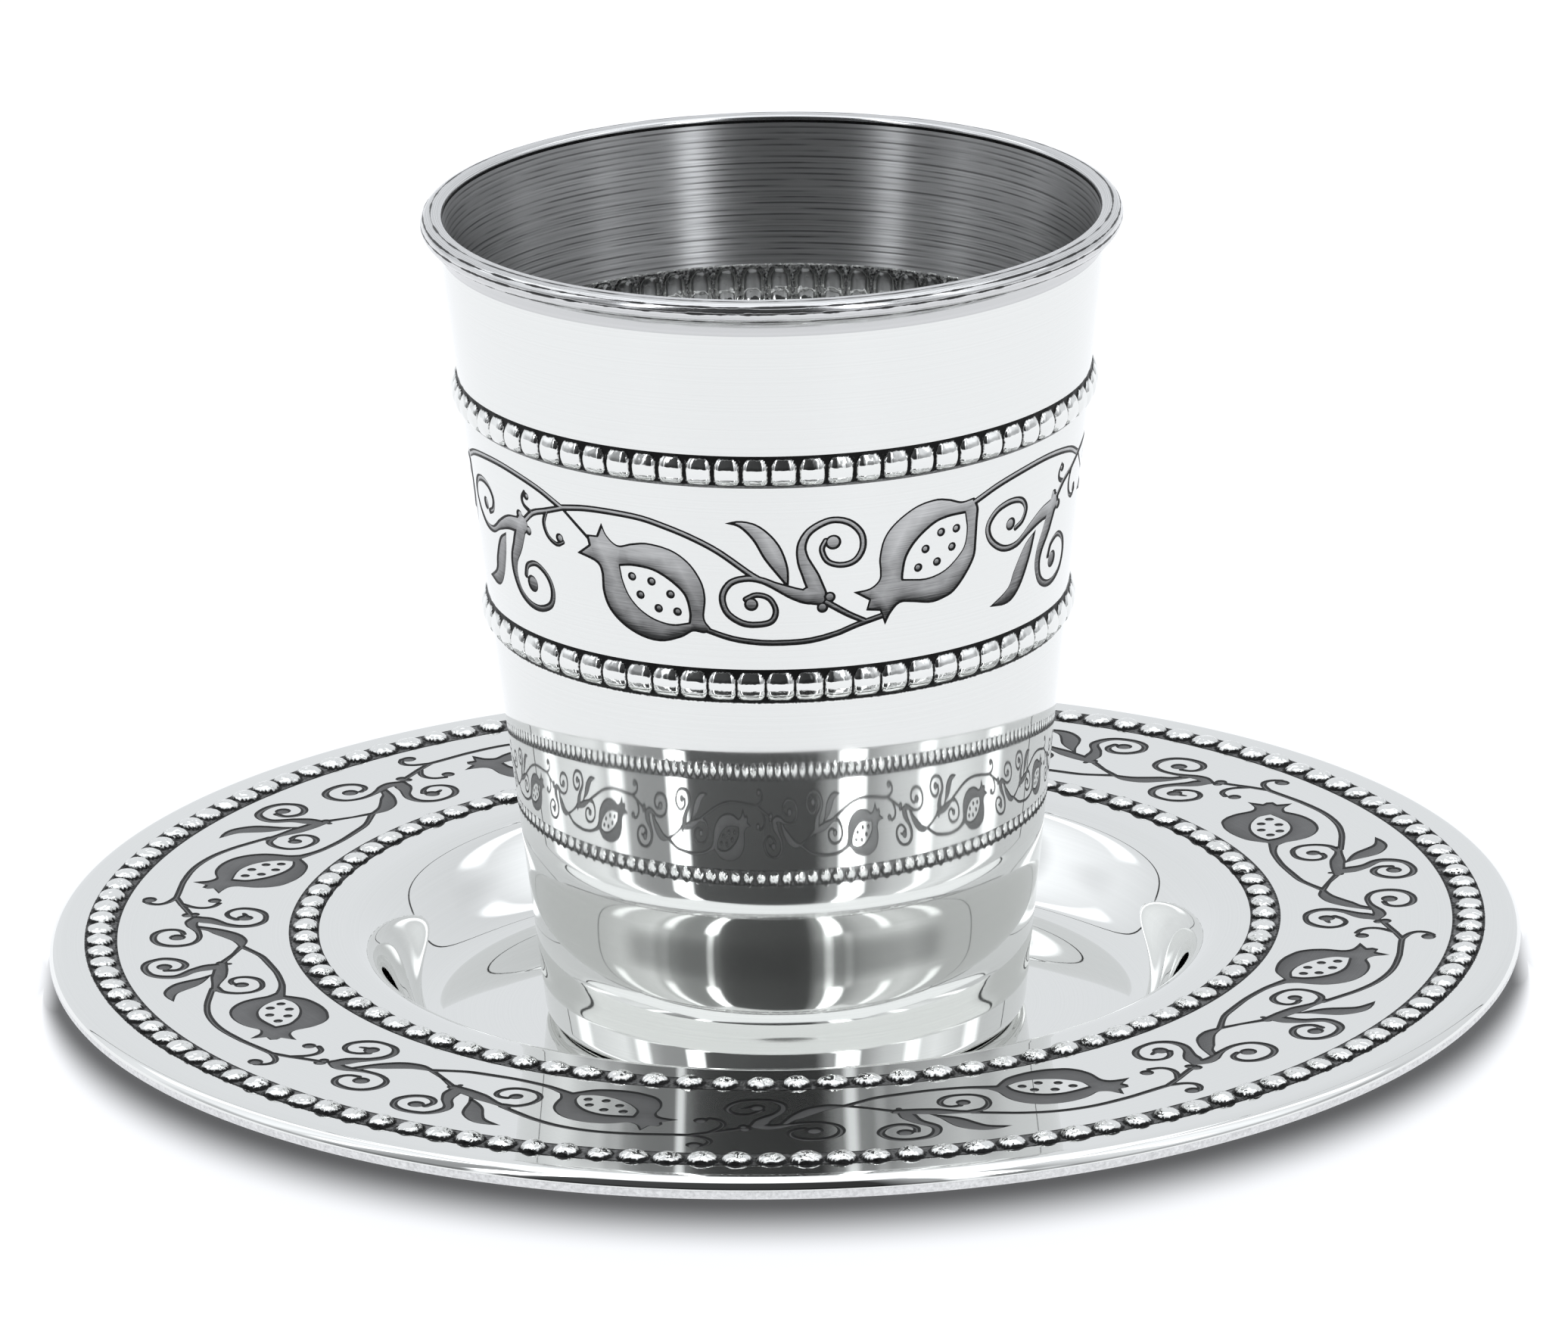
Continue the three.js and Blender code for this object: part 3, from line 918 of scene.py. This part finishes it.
def polished_steel(name, rings, line_strength, haze_range, veil):
    """Mirror polish with faint polishing lines, a little handling haze and a veil left by brushing."""
    n = Material(name)
    fine = n.lines(getattr(n, rings), 6.0, 3.0)
    roughness = n.ramp(n.noise(0.09, 3.0), 0.35, 0.7, *haze_range)
    colour = n.mix(n.ramp(fine, 0.3, 0.7), STEEL_TINT, STEEL_WORN)
    mirror = n.steel(colour, roughness, fine, line_strength, 0.004)
    mixed = n.add("MixShader", {0: veil, 1: mirror, 2: n.brushed_steel(colour, 0.9)})
    return n.finish(mixed.outputs[0])


def turned_steel(name):
    """Inside of the cup, with the fine broken rings that turning left."""
    n = Material(name)
    wander = n.times(n.lines(n.height, 0.7, 1.0), 1.5)
    turns = n.plus(n.times(n.height, FULL_TURN / TURNING_PITCH), wander)
    groove = n.ramp(n.math("SINE", turns), 0.2, 1.0, smooth=True)
    cut = n.times(groove, n.ramp(n.brushing(n.height, 4.0, 1.4), 0.36, 0.6))
    fine = n.lines(n.height, 4.0, 1.0)
    colour = n.mix(cut, n.mix(n.ramp(fine, 0.3, 0.7), grey(0.44), grey(0.56)), grey(0.2))
    return n.finish(n.brushed_steel(colour, 1.0, n.minus(fine, cut), 0.25, 0.03))


def etched_fill(name, dark, light, span, rough):
    """Satin etched metal, brushed around the axis, with painted shade along its outline, heavier on its lower
    edges, and painted light that grows along its span, upwards on the cup.
    """
    n = Material(name)
    along = getattr(n, span[0])
    brush = n.brushing(along, 7.0, 9.0, 3.0, 0.7)
    # painted light: the fill gets lighter along its span, upwards on the cup
    rise = n.ramp(along, span[1], span[2], smooth=True)
    worn = n.plus(n.times(n.noise(0.25), 0.15), n.times(brush, 0.9))
    painted_light_shade_and_wear = n.minus(n.plus(n.times(rise, 0.7), worn), n.times(n.soil_and_shade(), 0.7))
    colour = n.mix(n.ramp(painted_light_shade_and_wear, 0.05, 1.2), grey(dark), grey(light))
    return n.finish(n.steel(colour, rough, brush, 0.3, 0.02))


def oxide_line(name):
    """Dark oxide left along the etched outlines; it also paints shade into the crease inside the lip."""
    n = Material(name)
    grain = n.noise(6.0, 3.0)
    colour = n.mix(n.ramp(grain, 0.3, 0.75), grey(0.008), grey(0.03))
    return n.finish(n.steel(colour, 0.5, grain, 0.4, 0.02))


def beaded_steel(name, ground, relief):
    """Polished beads with oxide lines around them, on a satin stamped ground; along the cup's band edges the
    dark lines are painted shade.
    """
    n = Material(name)
    grain, facets = n.noise(4.0, 3.0), n.noise(1.5, 1.0)
    ragged = n.plus(n.soil_and_shade(), n.ramp(grain, 0.3, 0.7, -0.1, 0.1))
    to_line = n.ramp(ragged, 0.12, 0.4, smooth=True)
    to_ground = n.ramp(ragged, 0.62, 0.9, smooth=True)
    floor_tone = n.mix(n.ramp(grain, 0.3, 0.7), grey(0.7 * ground), grey(1.3 * ground))
    colour = n.mix(to_ground, n.mix(to_line, STEEL_TINT, grey(OXIDE_AND_SHADE_TONE)), floor_tone)
    roughness = n.minus(n.ramp(to_line, 0.0, 1.0, 0.07, 0.45), n.times(to_ground, 0.09))
    return n.finish(n.steel(colour, roughness, facets, 1.0, relief))


def turned_lip(name):
    """The rolled lip, with broken dark lines around it: lines that turning left, and a painted shade line
    under the roll.
    """
    n = Material(name)
    rise = n.minus(n.height, CUP_HEIGHT - LIP_ROLL + SHEET)
    angle = n.math("DEGREES", n.math("ARCTAN2", rise, n.minus(n.radius, LIP_RADIUS - LIP_ROLL)))
    grain = n.lines(angle, 0.25)
    cut = 0.0
    # the lowest line, under the roll, is painted shade
    for k, at in enumerate(LIP_LINES):
        width = n.ramp(n.noise(0.3 + 0.1 * k, 3.0), 0.38, 0.6, *LIP_LINE_WIDTHS)
        off = n.math("DIVIDE", n.size(n.minus(angle, at)), width)
        cut = n.largest(cut, n.ramp(off, 0.5, 1.0, 1.0, 0.0, smooth=True))
    colour = n.mix(cut, n.mix(n.ramp(grain, 0.35, 0.65), grey(0.74), grey(0.52)), grey(0.045))
    roughness = n.ramp(cut, 0.0, 1.0, 0.16, 0.4)
    return n.finish(n.steel(colour, roughness, n.minus(n.times(grain, 0.2), cut), 0.4, 0.05))


def satin_steel(name, dark, light):
    """Unpolished pressed sheet: the undersides and the folded edge."""
    n = Material(name)
    grain = n.plus(n.times(n.noise(2.5, 4.0, 0.65), 0.7), n.times(n.lines(n.radius, 2.0, 3.0), 0.3))
    colour = n.mix(n.ramp(grain, 0.35, 0.65), grey(dark), grey(light))
    return n.finish(n.steel(colour, 0.38, grain, 0.35, 0.04))


# Pieces

def well_wall(foot_radius, foot_height, steps):
    width, rise = WELL_LIP_RADIUS - WELL_FLOOR_RADIUS, RIM_TOP - SHEET
    ease, lip = WELL_WALL_EASE * width, foot_radius + width
    return bezier([(foot_radius, foot_height), (foot_radius + ease, foot_height),
                   (lip - ease, foot_height + rise), (lip, foot_height + rise)], steps)


def make_saucer(etched_line):
    materials = [polished_steel("saucer_polish", "radius", 0.006, (0.015, 0.03), 0.0), etched_line,
                 etched_fill("saucer_etch", 0.10, 0.19, ("radius", 40, 66), 0.5),
                 beaded_steel("saucer_beads", 0.13, 0.26), satin_steel("saucer_underside", 0.42, 0.66),
                 satin_steel("saucer_fold", 0.55, 0.85)]
    polish, outline, fill, beads, under, folded = range(len(materials))
    wall_foot = WELL_FLOOR_RADIUS + WALL_OUTSIDE_SHIFT
    underside = np.vstack([line((HUB, 0), (wall_foot, 0), 4)[:-1], well_wall(wall_foot, 0, WALL_STEPS),
                           [(55, RIM_TOP - SHEET)]])
    bend_middle = (SAUCER_RADIUS - EDGE_BEND[0], RIM_TOP - EDGE_BEND[1])
    fold_middle = (SAUCER_RADIUS - EDGE_FOLD, bend_middle[1])
    fold = arc(fold_middle, EDGE_FOLD, EDGE_FOLD_START, EDGE_POLISH_START, FOLD_STEPS)
    bend = arc((0, 0), 1.0, EDGE_POLISH_START, 90, BEND_STEPS)[1:] * EDGE_BEND + bend_middle
    rim = [(OUTER_BEADS["middle"] + OUTER_BEADS["width"] / 2 + 0.1, RIM_TOP)]
    inner_wall = np.vstack([well_wall(WELL_FLOOR_RADIUS, SHEET, INNER_WALL_STEPS)[::-1],
                            [(28, SHEET), (18, SHEET), (HUB, SHEET)]])
    skin = Skin()
    skin.pole(0.0, -1, under)
    profile = np.vstack([underside, fold, bend, rim])
    normals = profile_normals(profile)
    at = 0
    for rows, paint in ((len(underside) + 1, under), (len(fold) - 1, folded), (len(bend) + 1, polish)):
        skin.lathe(profile[at:at + rows], normals[at:at + rows], SAUCER_COLUMNS, paint)
        at += rows

    def rim_band(band, shift):
        def base(t):
            return band["middle"] - t * band["width"] / 2, RIM_TOP
        columns, rows = SAUCER_BEAD_CELLS
        bead_band(skin, band, dome(shift), np.linspace(0, 1, columns + 1), band_stations(rows), base,
                  (0, 1), (0, 1), beads, DOME_SPREAD)

    def place(u, v, depth):
        theta = u / SAUCER_FRIEZE_MIDDLE + math.radians(SAUCER_FRIEZE_TURN)
        points = turn(v + SAUCER_FRIEZE_MIDDLE, RIM_TOP - depth, theta)
        return theta, points, np.broadcast_to((0.0, 0.0, 1.0), points.shape)

    rim_band(OUTER_BEADS, -DOME_SHIFT)
    frieze(skin, saucer_drawing(), SAUCER_TILES, SAUCER_LINE, SAUCER_TILE_COLUMNS, place,
           (polish, outline, fill), True)
    rim_band(INNER_BEADS, DOME_SHIFT)
    wall_normals = profile_normals(np.vstack([[(44, RIM_TOP)], inner_wall]))[1:]
    skin.lathe(inner_wall, wall_normals, SAUCER_COLUMNS, polish)
    skin.pole(SHEET, 1, polish)
    return skin.piece("saucer_dressed", materials, 0.0)


def cup_foot():
    middle = (outside(FOOT_ROUND) - FOOT_ROUND / math.cos(LEAN), FOOT_ROUND)
    return arc(middle, FOOT_ROUND, -90, -math.degrees(LEAN), FOOT_STEPS)


def cup_inside_foot():
    height = SHEET + INSIDE_ROUND
    middle = (inside(height) - INSIDE_ROUND / math.cos(LEAN), height)
    return arc(middle, INSIDE_ROUND, -math.degrees(LEAN), -90, INSIDE_FOOT_STEPS)


def cup_lip():
    """The neck, the rolled lip with its inner corner, the crease under it and the inside's upper end."""
    roll = arc((LIP_RADIUS - LIP_ROLL, CUP_HEIGHT - LIP_ROLL), LIP_ROLL, LIP_ROLL_START, 90, LIP_STEPS)
    corner_middle = (LIP_INNER_RADIUS + LIP_CORNER, CUP_HEIGHT - LIP_CORNER)
    corner = arc(corner_middle, LIP_CORNER, 90, 180, CORNER_STEPS)
    neck_foot = np.array([outside(NECK_FOOT), NECK_FOOT])
    neck = bezier([neck_foot, neck_foot + NECK_BEND, roll[0]], NECK_STEPS)[:-1]
    crease = [(LIP_INNER_RADIUS, CUP_HEIGHT - LIP_CORNER - LIP_CREASE)]
    return np.vstack([neck, roll, corner, crease, [(inside(INSIDE_NECK_FOOT), INSIDE_NECK_FOOT)]])


def make_cup(etched_line):
    materials = [polished_steel("cup_polish", "height", 0.012, (0.02, 0.045), 0.1), etched_line,
                 etched_fill("cup_etch", 0.04, 0.6, ("height", 42 + SHEET, 61 + SHEET), 0.34),
                 beaded_steel("cup_beads", 0.2, 0.025), turned_steel("cup_inside"),
                 satin_steel("cup_underside", 0.42, 0.66), turned_lip("cup_lip"),
                 beaded_steel("cup_flutes", 0.35, 0.03)]
    polish, outline, fill, beads, turned, under, lip, flutes = range(len(materials))
    skin = Skin()

    def side(start, stop, steps, of, sign, paint):
        rows = line((of(start), start), (of(stop), stop), steps)
        skin.lathe(rows, np.broadcast_to(sign * SIDE_NORMAL, rows.shape), CUP_COLUMNS, paint)

    def side_band(band, form, stations, of, rows, up, paint):
        def base(t):
            height = band["middle"] + up * t * band["width"] / 2
            return of(height), height
        bead_band(skin, band, form, stations, band_stations(rows), base, (1, 0), up * SIDE_NORMAL, paint)

    def blocks(band, shoulder, lower_edge_shade):
        stations = shoulder_stations(shoulder[0])
        side_band(band, barrel(shoulder, lower_edge_shade), stations, outside, CUP_BEAD_ROWS, 1, beads)

    def hollows(band, cells, paint):
        columns, rows = cells
        side_band(band, flute, np.linspace(0, 1, columns + 1), inside, rows, -1, paint)

    def place(u, v, depth):
        theta = u / outside(CUP_FRIEZE_MIDDLE)
        points = turn(outside(v + CUP_FRIEZE_MIDDLE) - depth, v + CUP_FRIEZE_MIDDLE, theta)
        return theta, points, turn(SIDE_NORMAL[0], SIDE_NORMAL[1], theta)

    skin.pole(0.0, -1, under)
    foot = cup_foot()
    skin.lathe(line((HUB, 0), foot[0], 2)[:-1], [(0, -1)] * 2, CUP_COLUMNS, under)
    skin.lathe(foot, profile_normals(np.vstack([foot, [(outside(20), 20)]]))[:-1], CUP_COLUMNS, polish)
    side(*OUTSIDE_BELOW, outside, 1, polish)
    blocks(LOWER_BEADS, LOWER_SHOULDER, 0.5)
    frieze(skin, cup_drawing(), CUP_TILES, CUP_LINE, CUP_TILE_COLUMNS, place,
           (polish, outline, fill), False)
    blocks(UPPER_BEADS, UPPER_SHOULDER, 1.0)
    side(*OUTSIDE_ABOVE, outside, 1, polish)
    top = cup_lip()
    top_normals = profile_normals(np.vstack([[(outside(70), 70)], top, [(inside(70), 70)]]))[1:-1]
    # the crease ring gets the dark outline material, as painted shade
    paints = [polish] + [lip] * (len(top) - 3) + [outline, turned]
    for point, normal, paint in zip(top, top_normals, paints):
        skin.ring(point, normal, CUP_COLUMNS, paint)
    side(*INSIDE_ABOVE, inside, -1, turned)
    hollows(UPPER_FLUTES, FLUTE_CELLS, flutes)
    side(*INSIDE_BETWEEN, inside, -1, turned)
    hollows(LOWER_BEADS, LOWER_FLUTE_CELLS, turned)
    side(*INSIDE_BELOW, inside, -1, turned)
    inside_foot = cup_inside_foot()
    inside_normals = profile_normals(np.vstack([[(inside(20), 20)], inside_foot, [(HUB, SHEET)]]))[1:-1]
    skin.lathe(inside_foot, inside_normals, CUP_COLUMNS, turned)
    skin.lathe(np.array([(12, SHEET), (4, SHEET)]), [(0, 1)] * 2, CUP_COLUMNS, turned)
    skin.pole(SHEET, 1, turned)
    return skin.piece("cup_dressed", materials, SHEET)


# Studio

# Light around the box-shaped tent, as azimuth and light: open and dark in front, brightest at its sides
TENT_ROUND = ((-180, 0.9), (-130, 0.92), (-102, 1.13), (-88, 1.27), (-80, 0.8), (-64, 0.42), (-46, 0.38),
              (-39, 0.08), (14, 0.04), (21, 0.45), (40, 0.5), (50, 0.85), (60, 1.0), (80, 1.27), (95, 1.0),
              (112, 0.84), (135, 0.88), (180, 0.9))
TENT_RANGE = 2.0
TENT_BASE = (8, 20, 0.5)  # near the table all but the back is dimmer: between these elevations, by this share
TENT_BACK = (95, 115)
TENT_TOP = 1.4
TENT_TOP_EDGE = 1.87  # height of the tent's top edges, as a share of the distance to its sides
TENT_EDGE_SOFT = 0.2
# Upright strips of light: azimuth, half width, light; narrow ones low down, broad ones above
LOW_STRIPS = ((-79, 4, 1.0), (-47, 2.2, 2.0), (27, 3, 1.9), (40, 3, 0.9))
LOW_STRIP_TOP = (19, 27)
HIGH_STRIPS = ((-47, 4, 8.0), (31, 5, 9.0), (66, 4, 2.6), (-77, 4, 2.4), (104, 5, 2.2), (-118, 5, 2.2))
HIGH_STRIP_TOP = (66, 72)
STRIP_SOFT = (0.2, 1.5)  # a strip fades between these shares of its half width
# Dark piping along the tent's back corners and around its top
PIPING_CORNER = 132
PIPING = (0.5, 0.015, 0.04)  # half widths at the corners, in degrees, and at the top; light
PIPING_FOOT = (3, 6)
TENT_COLOUR = (0.965, 0.99, 1.025, 1)
# The floor is paper that glows evenly around the saucer. Under the saucer a painted shadow dims its glow,
# within a circle whose middle is moved back the more, the darker it gets
SHADE_RADIUS = 72
SHADE_MIDDLES = (7, 21.5)
SHADE_SIDES = (-2, 1)  # the fade to the left and right, from the circle's edge
FLOOR_SHADOW_AND_GLOW = (0.1, 0.96)  # glow in the painted shadow under the saucer, and around it
FLOOR_COLOUR = (1.0, 1.015, 1.045, 1)
FLOOR_RADIUS, FLOOR_GAP = 12.0, 0.0002  # metres; the gap keeps the floor clear of the saucer's underside


def light_tent():
    world = bpy.data.worlds.new("light_tent")
    bpy.context.scene.world = world
    world.use_nodes = True
    n = Nodes(world.node_tree)
    x, y, z = n.split(n.add("TexCoord").outputs["Generated"])
    azimuth = n.math("DEGREES", n.math("ARCTAN2", x, n.times(y, -1.0)))
    elevation = n.math("DEGREES", n.math("ARCSINE", z))
    climb = n.math("DIVIDE", z, n.largest(n.size(x), n.size(y)))

    def lay(mask, level, light):
        return n.plus(light, n.times(mask, n.minus(level, light)))

    def near(value, at, full, none):
        return n.ramp(n.size(n.minus(value, at)), full, none, 1.0, 0.0, smooth=True)

    around = n.add("ValToRGB", {0: n.ramp(azimuth, -180, 180)})
    stops = around.color_ramp.elements
    stops.remove(stops[1])
    for k, (angle, level) in enumerate(TENT_ROUND):
        stop = stops.new((angle + 180) / 360) if k else stops[0]
        stop.color = grey(level / TENT_RANGE)
    light = n.times(around.outputs[0], TENT_RANGE)
    low = n.ramp(elevation, *LOW_STRIP_TOP, 1.0, 0.0, smooth=True)
    high = n.times(n.minus(1.0, low), n.ramp(elevation, *HIGH_STRIP_TOP, 1.0, 0.0, smooth=True))
    for strips, reach in ((LOW_STRIPS, low), (HIGH_STRIPS, high)):
        for angle, half, level in strips:
            soft = near(azimuth, angle, STRIP_SOFT[0] * half, STRIP_SOFT[1] * half)
            light = lay(n.times(soft, reach), level, light)
    low_start, low_end, low_share = TENT_BASE
    off_back = n.ramp(n.size(azimuth), *TENT_BACK, 1.0, 0.0, smooth=True)
    base = n.times(off_back, n.ramp(elevation, low_start, low_end, 1.0, 0.0, smooth=True))
    light = lay(base, n.times(light, low_share), light)
    corner, edge, dark = PIPING
    upright = near(n.size(azimuth), PIPING_CORNER, corner / 2, corner)
    light = lay(n.times(upright, n.ramp(elevation, *PIPING_FOOT, smooth=True)), dark, light)
    top = n.ramp(climb, TENT_TOP_EDGE - TENT_EDGE_SOFT, TENT_TOP_EDGE + TENT_EDGE_SOFT, smooth=True)
    light = lay(top, TENT_TOP, light)
    light = lay(near(climb, TENT_TOP_EDGE, edge, edge * 2), dark, light)
    background = n.add("Background", {"Color": TENT_COLOUR, "Strength": light})
    n.add("OutputWorld", {0: background.outputs[0]})


def floor():
    n = Material("paper_floor")
    colour = n.mix(n.noise(0.5, 3.0), grey(0.055), grey(0.065))
    # painted shadow: the glow fades under the saucer, from the circle's front, back and sides
    reach = n.math("SQRT", n.largest(n.minus(SHADE_RADIUS ** 2, n.times(n.x, n.x)), 0.0))
    front = n.ramp(n.plus(n.y, reach), *SHADE_MIDDLES, 1.0, 0.0, smooth=True)
    back = n.ramp(n.minus(n.y, reach), *SHADE_MIDDLES, smooth=True)
    beside = n.ramp(n.size(n.x), SHADE_RADIUS + SHADE_SIDES[0], SHADE_RADIUS + SHADE_SIDES[1], smooth=True)
    glow_under_painted_shadow = n.ramp(n.largest(n.largest(front, back), beside), 0.0, 1.0, *FLOOR_SHADOW_AND_GLOW)
    paper = n.surface({"Base Color": colour, "Roughness": 0.9, "Emission Color": FLOOR_COLOUR,
                       "Emission Strength": glow_under_painted_shadow})
    bpy.ops.mesh.primitive_circle_add(vertices=96, radius=FLOOR_RADIUS, fill_type="NGON",
                                      location=(0, 0, -FLOOR_GAP))
    obj = bpy.context.object
    obj.name = "floor"
    obj.data.materials.append(n.finish(paper))
    obj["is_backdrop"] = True


def camera():
    pitch, yaw, roll = (math.radians(a) for a in (CAMERA_PITCH, CAMERA_YAW, CAMERA_ROLL))
    ahead = Vector((math.sin(yaw) * math.cos(pitch), math.cos(yaw) * math.cos(pitch), -math.sin(pitch)))
    right = Vector((math.cos(yaw), -math.sin(yaw), 0))
    up = right.cross(ahead)
    across = right * math.cos(roll) + up * math.sin(roll)
    upright = up * math.cos(roll) - right * math.sin(roll)
    data = bpy.data.cameras.new("camera")
    data.sensor_fit = "HORIZONTAL"
    data.sensor_width = SENSOR_WIDTH
    data.lens = FOCAL_LENGTH
    obj = bpy.data.objects.new("camera", data)
    bpy.context.scene.collection.objects.link(obj)
    turned = Matrix((across, upright, -ahead)).transposed().to_4x4()
    obj.matrix_world = Matrix.Translation(Vector(CAMERA_PLACE) * MM) @ turned
    bpy.context.scene.camera = obj


etched_line = oxide_line("etched_line")
for make, node in ((make_saucer, "saucer"), (make_cup, "cup")):
    piece = make(etched_line)
    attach(piece, "root")
    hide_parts(node)
light_tent()
floor()
camera()
bpy.context.scene.view_settings.view_transform = "Standard"

{name: [list(corner) for corner in box] for name, box in (("cad", CAD_BOX), ("visual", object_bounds()))}
